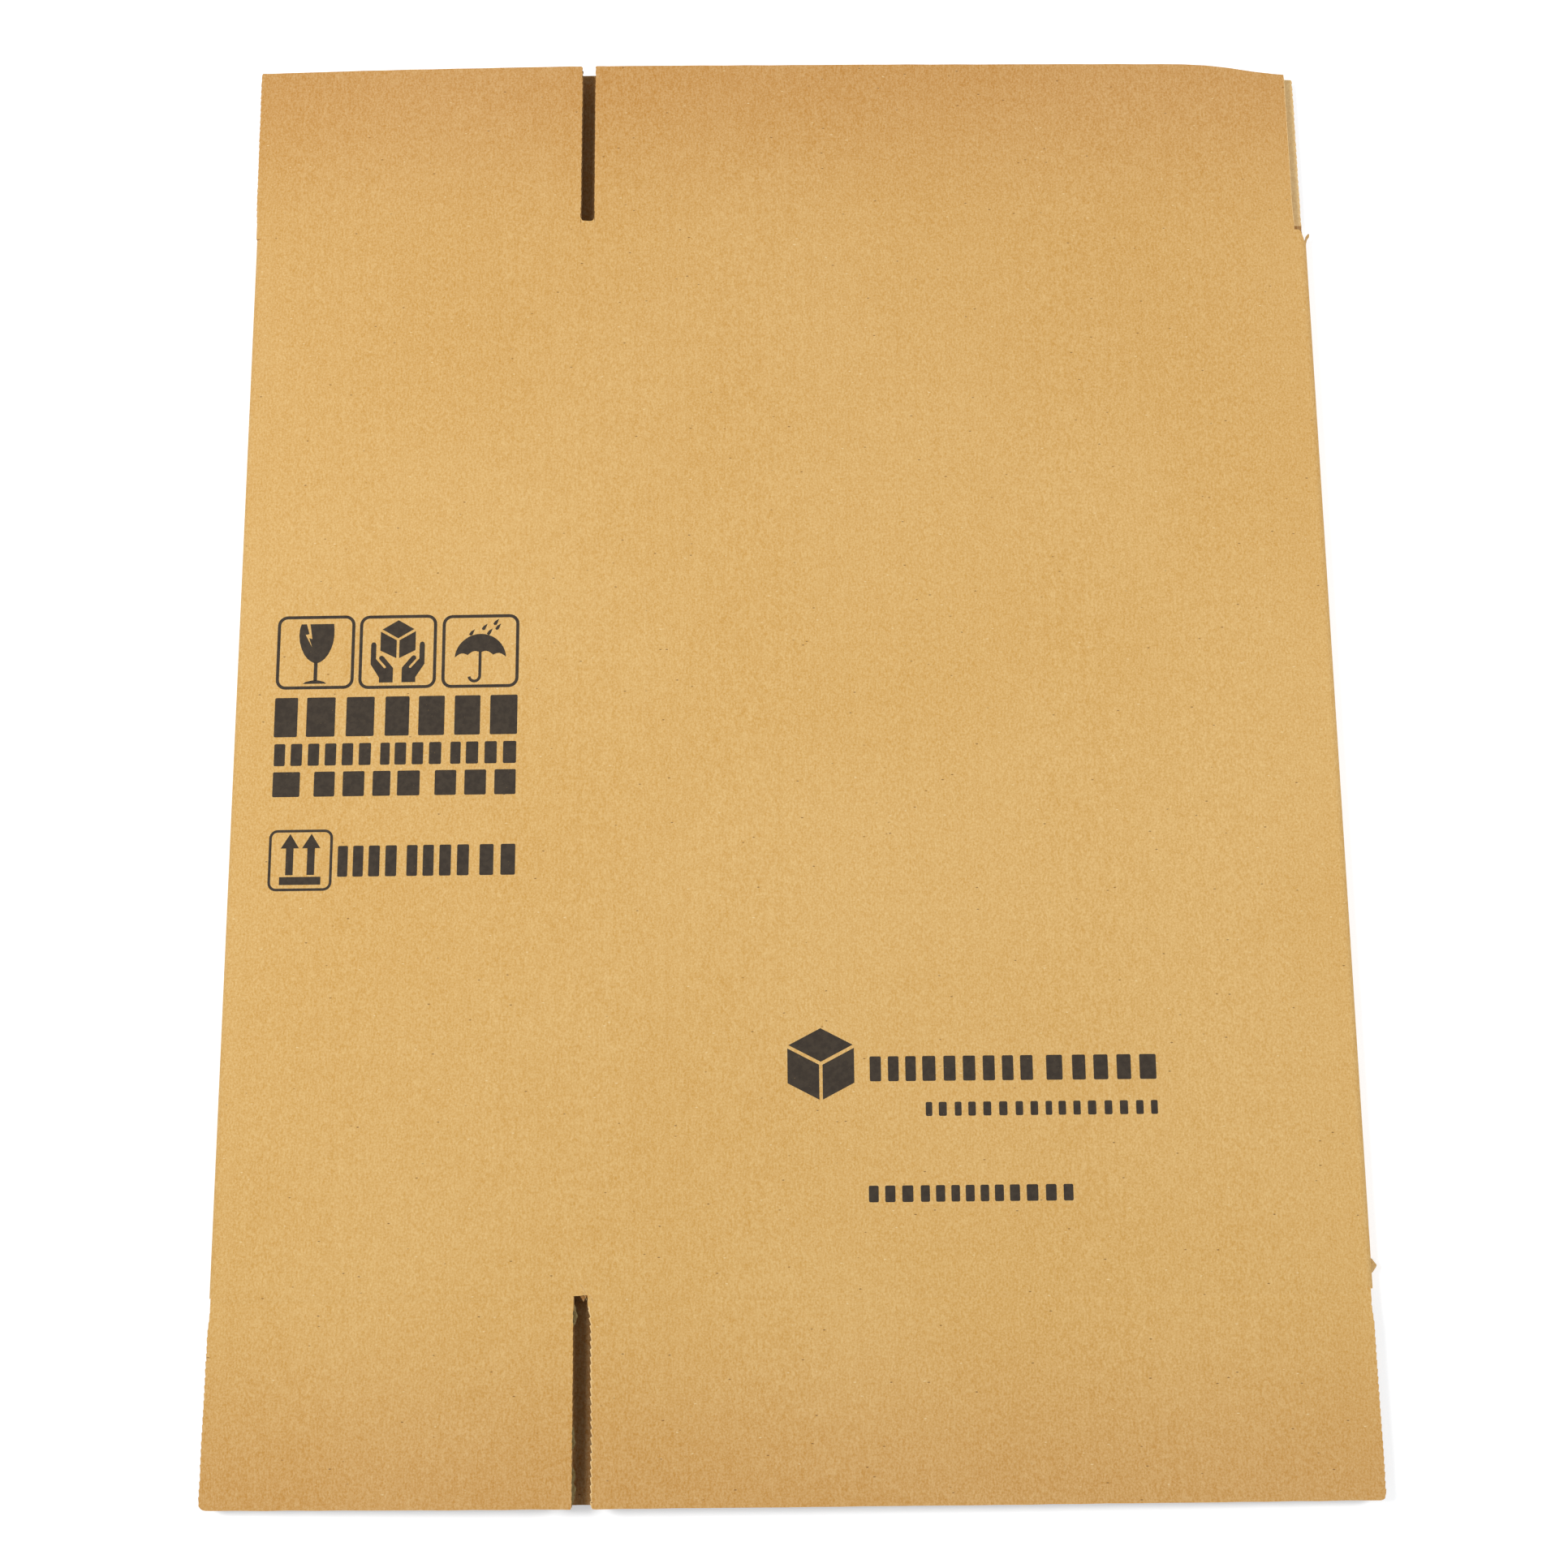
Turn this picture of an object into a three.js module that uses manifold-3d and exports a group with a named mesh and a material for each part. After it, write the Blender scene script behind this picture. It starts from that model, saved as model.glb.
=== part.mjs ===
// A regular slotted corrugated carton, folded flat as it is delivered.
// Millimetres. X runs across the panels, Y runs along the flutes, +Z is up.
// The origin is the middle of the outline, on the surface that the carton lies on.
// Four panels make one closed sleeve. Its upper layer has the narrow panel on the left
// and the wide one on the right, and its lower layer has a wide and then a narrow one.
// Each panel carries a flap at each end, hinged at its crease.

import * as THREE from 'three';
import { mergeVertices } from 'three/addons/utils/BufferGeometryUtils.js';
import Module from 'manifold-3d';

const wasm = await Module();
wasm.setup();

// Panels and flaps, from crease to crease
const narrowPanel = 127;
const widePanel = 272;
const panelHeight = 392;
const flapLength = 67;

// The corrugated board: two liners with a waved medium between them
const boardThickness = 3;
const linerThickness = 0.35;
const mediumThickness = 0.3;
const flutePitch = 6.5;
const fluteCrest = 1.3;
const fluteHollow = 1.1;
const boardEdgeMargin = 1.6;

// The board springs open a little between the layers
const foldGap = 0.6;
const tentGap = 3.7;
const foldSegments = 10;

// Creases, pressed into both faces of the board
const creaseDent = 0.45;
const creaseHalfWidth = 2.5;
const creaseBand = 5;
const creaseClearance = 0.3;
const ridgeDent = 0.5;
const ridgeHalfWidth = 1.4;

// Slots between the flaps, cut a little past the creases
const slotWidth = 5.2;
const slotOvercut = 1.5;
const slotEndRadius = 2;
const flapCornerRadius = 1.2;

// How far each flap's outer edge lies inside the fold line beside it
const insets = {
  top: { upperNarrow: -1, upperWide: 3.8, lowerWide: 5, lowerNarrow: 1 },
  bottom: { upperNarrow: 0, upperWide: 0.5, lowerWide: 5, lowerNarrow: 3 },
};

// The glued joint on the lower layer: a tab of the narrow panel inside the wide one
const tabWidth = 35;
const tabThickness = 1.6;
const tabEndTrim = 8;
const tabTaper = 10;
const seamWidth = 0.8;
const seamDepth = 2.6;

// Kraft board, seen from outside
const kraft = 'rgb(219, 176, 111)';
const kraftRoughness = 0.92;

// How far a cutter runs past what it cuts, a hair of room below a face that it spares,
// and the share of a narrow cut's width that the rounding of its end may take
const past = 1;
const hair = 0.1;
const largestRounding = 0.4;

// Worked out from the sizes above
const bodyWidth = narrowPanel + widePanel;
const leftReach = Math.max(0, -insets.top.upperNarrow, -insets.bottom.upperNarrow);
const bodyLeft = (leftReach - bodyWidth) / 2;
const bodyRight = bodyLeft + bodyWidth;
const foldRadius = boardThickness + foldGap / 2;
const foldTop = 2 * foldRadius;
const ridgeTop = 2 * boardThickness + tentGap;
const leftFoldX = bodyLeft + foldRadius;
const rightFoldX = bodyRight - foldRadius;
const ridgeX = bodyLeft + narrowPanel;
const seamX = bodyLeft + widePanel;
const creaseY = panelHeight / 2;
const narrowTilt = Math.atan2(ridgeTop - foldTop, ridgeX - leftFoldX);
const wideTilt = Math.atan2(foldTop - ridgeTop, rightFoldX - ridgeX);

// A closed geometry as a solid that can be cut
function toSolid(geometry) {
  const bare = geometry.clone();
  bare.deleteAttribute('normal');
  bare.deleteAttribute('uv');
  const merged = mergeVertices(bare, 1e-4);
  return new wasm.Manifold(new wasm.Mesh({
    numProp: 3,
    vertProperties: Float32Array.from(merged.attributes.position.array),
    triVerts: Uint32Array.from(merged.index.array),
  }));
}

// A solid as a geometry again
function toGeometry(solid) {
  const { vertProperties, triVerts } = solid.getMesh();
  const geometry = new THREE.BufferGeometry();
  geometry.setAttribute('position', new THREE.Float32BufferAttribute(vertProperties, 3));
  geometry.setIndex([...triVerts]);
  geometry.computeVertexNormals();
  return geometry;
}

function outline(points) {
  return new THREE.Shape(points.map(([x, y]) => new THREE.Vector2(x, y)));
}

// Prisms of outlines drawn in X and Z, run along the flutes from one Y to another
function alongFlutes(shapes, fromY, toY) {
  const settings = { depth: toY - fromY, bevelEnabled: false, curveSegments: foldSegments };
  const geometry = new THREE.ExtrudeGeometry(shapes, settings);
  geometry.rotateX(Math.PI / 2);
  geometry.translate(0, toY, 0);
  return geometry;
}

// A prism of an outline drawn in Y and Z, run across the flutes from one X to another
function acrossFlutes(shape, fromX, toX) {
  const settings = { depth: toX - fromX, bevelEnabled: false };
  const geometry = new THREE.ExtrudeGeometry(shape, settings);
  geometry.rotateY(Math.PI / 2);
  geometry.rotateX(Math.PI / 2);
  geometry.translate(fromX, 0, 0);
  return geometry;
}

// A prism of an outline drawn in X and Y, run through the sheet from one Z to another
function throughSheet(shape, fromZ, toZ) {
  const settings = { depth: toZ - fromZ, bevelEnabled: false, curveSegments: 5 };
  const geometry = new THREE.ExtrudeGeometry(shape, settings);
  geometry.translate(0, 0, fromZ);
  return geometry;
}

// Height of the upper layer's outer face
function upperFace(x) {
  if (x < ridgeX) return foldTop + (x - leftFoldX) * Math.tan(narrowTilt);
  return ridgeTop + (x - ridgeX) * Math.tan(wideTilt);
}

// The sleeve's section: two layers joined by a round fold at each side, with the seam
// of the glued joint in the underside and its tab on the inside
function sleeveSection() {
  const shape = new THREE.Shape();
  const quarter = Math.PI / 2;
  shape.moveTo(leftFoldX, 0);
  shape.lineTo(seamX - seamWidth / 2, 0);
  shape.lineTo(seamX - seamWidth / 2, seamDepth);
  shape.lineTo(seamX + seamWidth / 2, seamDepth);
  shape.lineTo(seamX + seamWidth / 2, 0);
  shape.lineTo(rightFoldX, 0);
  shape.absarc(rightFoldX, foldRadius, foldRadius, -quarter, quarter, false);
  shape.lineTo(ridgeX + ridgeHalfWidth, upperFace(ridgeX + ridgeHalfWidth));
  shape.lineTo(ridgeX, ridgeTop - ridgeDent);
  shape.lineTo(ridgeX - ridgeHalfWidth, upperFace(ridgeX - ridgeHalfWidth));
  shape.lineTo(leftFoldX, foldTop);
  shape.absarc(leftFoldX, foldRadius, foldRadius, quarter, 3 * quarter, false);

  const inside = new THREE.Path();
  inside.moveTo(leftFoldX, boardThickness);
  inside.absarc(leftFoldX, foldRadius, foldGap / 2, 3 * quarter, quarter, true);
  inside.lineTo(ridgeX, ridgeTop - boardThickness);
  inside.lineTo(rightFoldX, foldTop - boardThickness);
  inside.absarc(rightFoldX, foldRadius, foldGap / 2, quarter, -quarter, true);
  inside.lineTo(seamX + tabThickness, boardThickness);
  inside.lineTo(seamX, boardThickness + tabThickness);
  inside.lineTo(seamX - tabWidth, boardThickness + tabThickness);
  inside.lineTo(seamX - tabWidth, boardThickness);
  shape.holes.push(inside);
  return shape;
}

// The rounded end of a slot, cut from past the crease into the panel's end
function slotEnd(fromX, toX, end) {
  const tip = creaseY - slotOvercut;
  const radius = Math.min(slotEndRadius, largestRounding * (toX - fromX));
  const shape = new THREE.Shape();
  shape.moveTo(fromX, end * (creaseY + past));
  shape.lineTo(fromX, end * (tip + radius));
  shape.quadraticCurveTo(fromX, end * tip, fromX + radius, end * tip);
  shape.lineTo(toX - radius, end * tip);
  shape.quadraticCurveTo(toX, end * tip, toX, end * (tip + radius));
  shape.lineTo(toX, end * (creaseY + past));
  return shape;
}

// A panel's half of the pressed crease, above its outer face at Z 0, or below it
function creaseWedge(fromX, toX, end, outward) {
  const slope = creaseDent / creaseHalfWidth;
  return acrossFlutes(outline([
    [end * (creaseY - creaseHalfWidth), 0],
    [end * (creaseY + past), -outward * slope * (creaseHalfWidth + past)],
    [end * (creaseY + past), outward * past],
    [end * (creaseY - creaseHalfWidth), outward * past],
  ]), fromX, toX);
}

// Slots between the flaps of each layer, and the bites that the outer slots leave in the folds
function slotCutters(inset, end) {
  const half = slotWidth / 2;
  const tabTop = boardThickness + tabThickness + hair;
  const cutters = [
    [ridgeX - half, ridgeX + half, foldTop - boardThickness, ridgeTop + past],
    [seamX - half, seamX + half, -past, tabTop],
    [bodyLeft - past, bodyLeft + inset.upperNarrow, foldRadius, ridgeTop],
    [bodyLeft - past, bodyLeft + inset.lowerWide, -past, foldRadius],
    [bodyRight - inset.upperWide, bodyRight + past, foldRadius, ridgeTop],
    [bodyRight - inset.lowerNarrow, bodyRight + past, -past, foldRadius],
  ];
  return cutters
    .filter(([fromX, toX]) => toX - fromX > past)
    .map(([fromX, toX, fromZ, toZ]) => throughSheet(slotEnd(fromX, toX, end), fromZ, toZ));
}

// The tab stops short of the crease with its end cut aslant, and past it the seam is open
function tabCutters(end) {
  const tabEnd = creaseY - tabEndTrim;
  const right = seamX + tabThickness + past;
  const left = seamX - tabWidth - past;
  const beyondTab = outline([
    [right, end * tabEnd],
    [right, end * (creaseY + past)],
    [left, end * (creaseY + past)],
    [left, end * (tabEnd - tabTaper)],
    [seamX, end * tabEnd],
  ]);
  const openSeam = outline([
    [seamX - seamWidth / 2, end * tabEnd],
    [seamX + seamWidth / 2, end * tabEnd],
    [seamX + seamWidth / 2, end * (creaseY + past)],
    [seamX - seamWidth / 2, end * (creaseY + past)],
  ]);
  return [
    throughSheet(beyondTab, boardThickness, boardThickness + tabThickness + hair),
    throughSheet(openSeam, -past, boardThickness + hair),
  ];
}

// Pressed creases at a panel end: two on the upper layer and one on the underside
function creaseCutters(end) {
  const narrow = creaseWedge(-past, ridgeX - leftFoldX, end, 1);
  narrow.rotateY(-narrowTilt);
  narrow.translate(leftFoldX, 0, foldTop);
  const wide = creaseWedge(0, rightFoldX - ridgeX + past, end, 1);
  wide.rotateY(-wideTilt);
  wide.translate(ridgeX, 0, ridgeTop);
  const under = creaseWedge(leftFoldX - past, rightFoldX + past, end, -1);
  return [narrow, wide, under];
}

// Four panels, two folds, one crease and the glued tab, in one sheet
function sleeveGeometry() {
  const halfLength = creaseY - creaseClearance / 2;
  let solid = toSolid(alongFlutes(sleeveSection(), -halfLength, halfLength));
  for (const [side, end] of [['top', 1], ['bottom', -1]]) {
    const cutters = [...slotCutters(insets[side], end), ...tabCutters(end), ...creaseCutters(end)];
    for (const cutter of cutters) solid = solid.subtract(toSolid(cutter));
  }
  return toGeometry(solid);
}

// The hollows between the waved medium and the two liners, across a flap of this width
function fluteChannels(width) {
  const count = Math.floor((width - 2 * boardEdgeMargin) / flutePitch);
  const start = -count * flutePitch / 2;
  const crest = fluteCrest / 2;
  const hollow = fluteHollow / 2;
  const outerLiner = -linerThickness;
  const innerLiner = linerThickness - boardThickness;
  const channels = [];
  for (let flute = 0; flute < count; flute += 1) {
    const left = start + flute * flutePitch;
    const middle = left + flutePitch / 2;
    const right = left + flutePitch;
    channels.push(outline([
      [left + crest, outerLiner],
      [right - crest, outerLiner],
      [middle + hollow, innerLiner + mediumThickness],
      [middle - hollow, innerLiner + mediumThickness],
    ]));
    if (flute === 0) continue;
    channels.push(outline([
      [left - flutePitch / 2 + crest, innerLiner],
      [middle - crest, innerLiner],
      [left + hollow, outerLiner - mediumThickness],
      [left - hollow, outerLiner - mediumThickness],
    ]));
  }
  return channels;
}

// A flap with its crease at Y 0 and its outer face at Z 0: the board is pressed thin at
// the crease, its flutes are open at the free edge, and its free corners are rounded
function flapGeometry(width) {
  const start = creaseClearance / 2;
  const dent = creaseDent * (1 - start / creaseHalfWidth);
  const profile = outline([
    [start, -dent],
    [creaseHalfWidth, 0],
    [flapLength, 0],
    [flapLength, -boardThickness],
    [creaseHalfWidth, -boardThickness],
    [start, dent - boardThickness],
  ]);
  const half = width / 2;
  const round = flapCornerRadius;
  const plan = new THREE.Shape();
  plan.moveTo(-half, 0);
  plan.lineTo(half, 0);
  plan.lineTo(half, flapLength - round);
  plan.absarc(half - round, flapLength - round, round, 0, Math.PI / 2, false);
  plan.lineTo(round - half, flapLength);
  plan.absarc(round - half, flapLength - round, round, Math.PI / 2, Math.PI, false);
  const channels = alongFlutes(fluteChannels(width), creaseBand, flapLength + past);
  const solid = toSolid(acrossFlutes(profile, -half - past, half + past))
    .intersect(toSolid(throughSheet(plan, -boardThickness - past, past)))
    .subtract(toSolid(channels));
  return toGeometry(solid);
}

function boardMesh(name, geometry) {
  const material = new THREE.MeshStandardMaterial({
    color: new THREE.Color(kraft),
    roughness: kraftRoughness,
    metalness: 0,
  });
  const mesh = new THREE.Mesh(geometry, material);
  mesh.name = name;
  return mesh;
}

// The face that a panel's flaps carry on: where it starts and how it lies
function panelFace(originX, faceZ, tilt, facesDown) {
  const face = new THREE.Group();
  face.position.set(originX, 0, faceZ);
  face.rotation.y = facesDown ? Math.PI : -tilt;
  face.userData = { originX, scale: facesDown ? -1 : 1 / Math.cos(tilt) };
  return face;
}

// A flap between two X positions, at the top or the bottom end of a panel
function addFlap(face, name, fromX, toX, end) {
  const { originX, scale } = face.userData;
  const flap = boardMesh(name, flapGeometry((toX - fromX) * Math.abs(scale)));
  flap.position.set(((fromX + toX) / 2 - originX) * scale, end * creaseY, 0);
  if (end < 0) flap.rotation.z = Math.PI;
  face.add(flap);
}

const carton = new THREE.Group();
carton.add(boardMesh('sleeve', sleeveGeometry()));

const upperNarrow = panelFace(leftFoldX, foldTop, narrowTilt, false);
const upperWide = panelFace(ridgeX, ridgeTop, wideTilt, false);
const underside = panelFace(0, 0, 0, true);
carton.add(upperNarrow, upperWide, underside);

for (const [side, end] of [['top', 1], ['bottom', -1]]) {
  const inset = insets[side];
  const half = slotWidth / 2;
  addFlap(upperNarrow, `${side}_upper_narrow_flap`, bodyLeft + inset.upperNarrow, ridgeX - half, end);
  addFlap(upperWide, `${side}_upper_wide_flap`, ridgeX + half, bodyRight - inset.upperWide, end);
  addFlap(underside, `${side}_lower_wide_flap`, bodyLeft + inset.lowerWide, seamX - half, end);
  addFlap(underside, `${side}_lower_narrow_flap`, seamX + half, bodyRight - inset.lowerNarrow, end);
}

export default carton;
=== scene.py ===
"""A brown corrugated carton folded flat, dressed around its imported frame.

Every length is in metres in the carton's own frame: X across the panels, Y along the
flutes, Z up from the surface that the carton lies on.
"""

import math
import random

import bmesh
import bpy
import numpy as np
from mathutils import Matrix, Vector
from mathutils.geometry import tessellate_polygon

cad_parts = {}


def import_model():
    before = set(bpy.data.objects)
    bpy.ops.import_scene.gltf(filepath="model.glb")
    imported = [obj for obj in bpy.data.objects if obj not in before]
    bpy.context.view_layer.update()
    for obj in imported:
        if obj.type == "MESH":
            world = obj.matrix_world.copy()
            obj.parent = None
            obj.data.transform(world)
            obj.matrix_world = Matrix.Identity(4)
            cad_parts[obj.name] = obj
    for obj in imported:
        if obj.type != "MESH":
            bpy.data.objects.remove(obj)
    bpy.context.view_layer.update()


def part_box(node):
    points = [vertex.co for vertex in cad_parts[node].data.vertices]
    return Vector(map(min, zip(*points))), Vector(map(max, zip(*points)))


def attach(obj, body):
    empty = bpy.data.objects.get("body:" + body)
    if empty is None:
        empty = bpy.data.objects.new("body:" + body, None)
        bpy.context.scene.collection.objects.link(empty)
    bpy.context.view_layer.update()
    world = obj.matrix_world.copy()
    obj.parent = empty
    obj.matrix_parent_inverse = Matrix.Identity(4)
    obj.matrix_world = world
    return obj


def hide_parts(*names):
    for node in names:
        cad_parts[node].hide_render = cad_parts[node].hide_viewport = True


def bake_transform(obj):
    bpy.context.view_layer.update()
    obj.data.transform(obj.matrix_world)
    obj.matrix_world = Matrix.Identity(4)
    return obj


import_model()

MM = 0.001

# The board: two liners with a waved medium between them
BOARD = 3.0 * MM
LINER = 0.35 * MM
MEDIUM = 0.30 * MM
FLUTE_PITCH = 6.5 * MM

# The folded section, as the frame has it
FOLD_RADIUS = 3.3 * MM
FOLD_TOP = 2 * FOLD_RADIUS
INNER_RADIUS = 0.3 * MM
RIDGE_TOP = 9.7 * MM
SEAM_WIDTH = 0.8 * MM
TAB_WIDTH = 35 * MM
TAB_THICKNESS = 1.6 * MM
TAB_END_TRIM = 8 * MM
TAB_TAPER = 10 * MM

# Places read from the frame
SLEEVE_LOW, SLEEVE_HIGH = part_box("sleeve")
CREASE_GAP = 0.15 * MM
CREASE_Y = SLEEVE_HIGH.y + CREASE_GAP
FLAP_END_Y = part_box("top_upper_wide_flap")[1].y
LEFT, RIGHT = SLEEVE_LOW.x, SLEEVE_HIGH.x
LEFT_FOLD, RIGHT_FOLD = LEFT + FOLD_RADIUS, RIGHT - FOLD_RADIUS
RIDGE_X = (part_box("top_upper_narrow_flap")[1].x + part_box("top_upper_wide_flap")[0].x) / 2
SEAM_X = (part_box("top_lower_wide_flap")[1].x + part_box("top_lower_narrow_flap")[0].x) / 2

# Creases: the strip of board on both sides of the crease line between the sleeve and a flap
CREASE_HALF = 1.6 * MM
CREASE_DENT_OUT = 0.06 * MM
CREASE_DENT_IN = 0.35 * MM
CREASE_SOFTNESS = 1.1 * MM
RIDGE_DENT = 0.10 * MM
RIDGE_SOFTNESS = 1.8 * MM

# Edges cut by a toothed knife
TOOTH_PITCH = 2.58 * MM
EDGE_STEP = 0.43 * MM
COLUMN_STEP = 9 * MM


def smoothstep(low, high, value):
    t = np.clip((value - low) / (high - low), 0, 1)
    return t * t * (3 - 2 * t)


def upper_face(x):
    """Height of the upper layer's outer face."""
    if x < RIDGE_X:
        share = (x - LEFT_FOLD) / (RIDGE_X - LEFT_FOLD)
        return FOLD_TOP + share * (RIDGE_TOP - FOLD_TOP)
    share = (x - RIDGE_X) / (RIGHT_FOLD - RIDGE_X)
    return RIDGE_TOP + share * (FOLD_TOP - RIDGE_TOP)


def crease_dent(y):
    """How much of the full press a place has, from 1 on the crease to 0 away from it."""
    return math.exp(-(((abs(y) - CREASE_Y) / CREASE_SOFTNESS) ** 2))


def wander(value, seed):
    """A slow, repeatable waver between about -1 and 1, for hand-cut and worn edges."""
    phase = seed * 1.7
    return (
        0.5 * math.sin(value * 310 + phase)
        + 0.3 * math.sin(value * 790 + 2.1 * phase)
        + 0.2 * math.sin(value * 1730 + 0.7 * phase)
    )


# Materials

def rgb(red, green, blue):
    """A colour read in the display's 0 to 255 steps, as the shader's linear colour."""
    def linear(step):
        share = step / 255
        return share / 12.92 if share <= 0.04045 else ((share + 0.055) / 1.055) ** 2.4
    return (linear(red), linear(green), linear(blue), 1.0)


class Nodes:
    """Short ways to add and join nodes in one tree."""

    def __init__(self, tree):
        self.tree = tree

    def add(self, kind, inputs=None, **settings):
        node = self.tree.nodes.new(kind)
        for name, value in settings.items():
            setattr(node, name, value)
        for name, value in (inputs or {}).items():
            self.feed(node.inputs[name], value)
        return node

    def feed(self, socket, value):
        if isinstance(value, bpy.types.NodeSocket):
            self.tree.links.new(value, socket)
        else:
            socket.default_value = value

    def math(self, operation, first, second=0.0):
        node = self.add("ShaderNodeMath", operation=operation)
        self.feed(node.inputs[0], first)
        self.feed(node.inputs[1], second)
        return node.outputs[0]

    def stretch(self, coords, scale, turn=0.0):
        """Coordinates turned about Z and multiplied along each axis."""
        node = self.add("ShaderNodeMapping", {"Vector": coords})
        node.inputs["Scale"].default_value = scale
        node.inputs["Rotation"].default_value = (0, 0, turn)
        return node.outputs["Vector"]

    def noise(self, coords, scale, detail=2.0, rough=0.5):
        node = self.add("ShaderNodeTexNoise", {"Vector": coords, "Scale": scale, "Detail": detail,
                                               "Roughness": rough})
        return node.outputs["Fac"]

    def span(self, value, low, high, to_low=0.0, to_high=1.0):
        """A value between low and high, carried smoothly to another span."""
        node = self.add("ShaderNodeMapRange", {"Value": value, "From Min": low, "From Max": high,
                                               "To Min": to_low, "To Max": to_high},
                        interpolation_type="SMOOTHSTEP")
        return node.outputs["Result"]

    def tint(self, factor, first, second):
        node = self.add("ShaderNodeMix", data_type="RGBA")
        self.feed(node.inputs["Factor"], factor)
        self.feed(node.inputs["A"], first)
        self.feed(node.inputs["B"], second)
        return node.outputs["Result"]


def new_group(name, inputs, outputs):
    tree = bpy.data.node_groups.new(name, "ShaderNodeTree")
    for label, kind, value in inputs:
        socket = tree.interface.new_socket(label, in_out="INPUT", socket_type=kind)
        socket.default_value = value
    for label, kind in outputs:
        tree.interface.new_socket(label, in_out="OUTPUT", socket_type=kind)
    return tree


DARK_SLIVER = rgb(128, 90, 52)
PALE_FIBRE = rgb(244, 218, 166)
CELLS_WITHOUT_FLECK = 0.90


def paper_group():
    """Unbleached paper: clouding, streaks, dark and pale flecks, and the flutes showing through."""
    tree = new_group(
        "kraft paper",
        [("Coordinates", "NodeSocketVector", (0, 0, 0)),
         ("Paper", "NodeSocketColor", (0.7, 0.4, 0.15, 1)),
         ("Flecks", "NodeSocketFloat", 1.0),
         ("Flutes", "NodeSocketFloat", 1.0)],
        [("Color", "NodeSocketColor"), ("Roughness", "NodeSocketFloat"),
         ("Height", "NodeSocketFloat")],
    )
    n = Nodes(tree)
    given = n.add("NodeGroupInput").outputs
    place, paper = given["Coordinates"], given["Paper"]

    blotches = n.noise(place, 9.0, 2.0)
    clouds = n.noise(place, 130.0, 2.0, 0.5)
    grain = n.noise(place, 1500.0, 2.0, 0.7)
    streaks = n.noise(n.stretch(place, (1500, 520, 600), 0.25), 1.0, 2.0, 0.6)

    split = n.add("ShaderNodeSeparateXYZ", {"Vector": place})
    turns = n.math("MULTIPLY", split.outputs["X"], 2 * math.pi / FLUTE_PITCH)
    wave = n.math("SINE", turns)
    wave = n.math("MULTIPLY", wave, given["Flutes"])

    tone = n.span(blotches, 0.3, 0.7, -0.020, 0.020)
    for pattern, depth in ((clouds, 0.012), (grain, 0.085), (streaks, 0.060)):
        tone = n.math("ADD", tone, n.span(pattern, 0.3, 0.7, -depth, depth))
    tone = n.math("ADD", tone, n.math("MULTIPLY", wave, 0.006))
    lighter = n.add("ShaderNodeVectorMath", operation="SCALE")
    lighter.inputs[0].default_value = (0.56, 0.62, 0.44)
    n.feed(lighter.inputs["Scale"], tone)
    shaded = n.add("ShaderNodeVectorMath", operation="ADD")
    n.feed(shaded.inputs[0], paper)
    n.feed(shaded.inputs[1], lighter.outputs[0])
    colour = shaded.outputs[0]

    # Short dark slivers and pale fibres, lying two ways each, where a cell happens to have one
    for turn, dark in ((0.6, True), (-1.1, True), (1.5, False), (0.9, False)):
        cells = n.add("ShaderNodeTexVoronoi",
                      {"Vector": n.stretch(place, (170, 430, 430), turn), "Scale": 1.0})
        sliver = n.span(cells.outputs["Distance"], 0.04, 0.11, 1.0, 0.0)
        chance = n.add("ShaderNodeSeparateColor", {"Color": cells.outputs["Color"]}).outputs[0]
        chosen = n.math("GREATER_THAN", chance, CELLS_WITHOUT_FLECK)
        mask = n.math("MULTIPLY", sliver, chosen)
        mask = n.math("MULTIPLY", mask, given["Flecks"])
        mask = n.math("MULTIPLY", mask, 0.85 if dark else 0.75)
        colour = n.tint(mask, colour, DARK_SLIVER if dark else PALE_FIBRE)

    height = n.math("ADD", n.math("MULTIPLY", grain, 0.35), n.math("MULTIPLY", streaks, 0.35))
    height = n.math("ADD", height, n.math("MULTIPLY", wave, 0.30))
    out = n.add("NodeGroupOutput")
    n.feed(out.inputs["Color"], colour)
    n.feed(out.inputs["Roughness"], n.span(clouds, 0.3, 0.7, 0.86, 0.96))
    n.feed(out.inputs["Height"], height)
    return tree


# Painted shade: the colour that the outer liner is mixed towards at the flaps' free ends and across the
# top half
SHADED_PAPER = rgb(172, 96, 46)
SLOW_SHADE_FROM = -20 * MM
LATE_SHADE_FROM = CREASE_Y - 10 * MM
LATE_SHADE_TO = FLAP_END_Y + 15 * MM
RELIEF_DEPTH = 0.6 * MM


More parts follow.
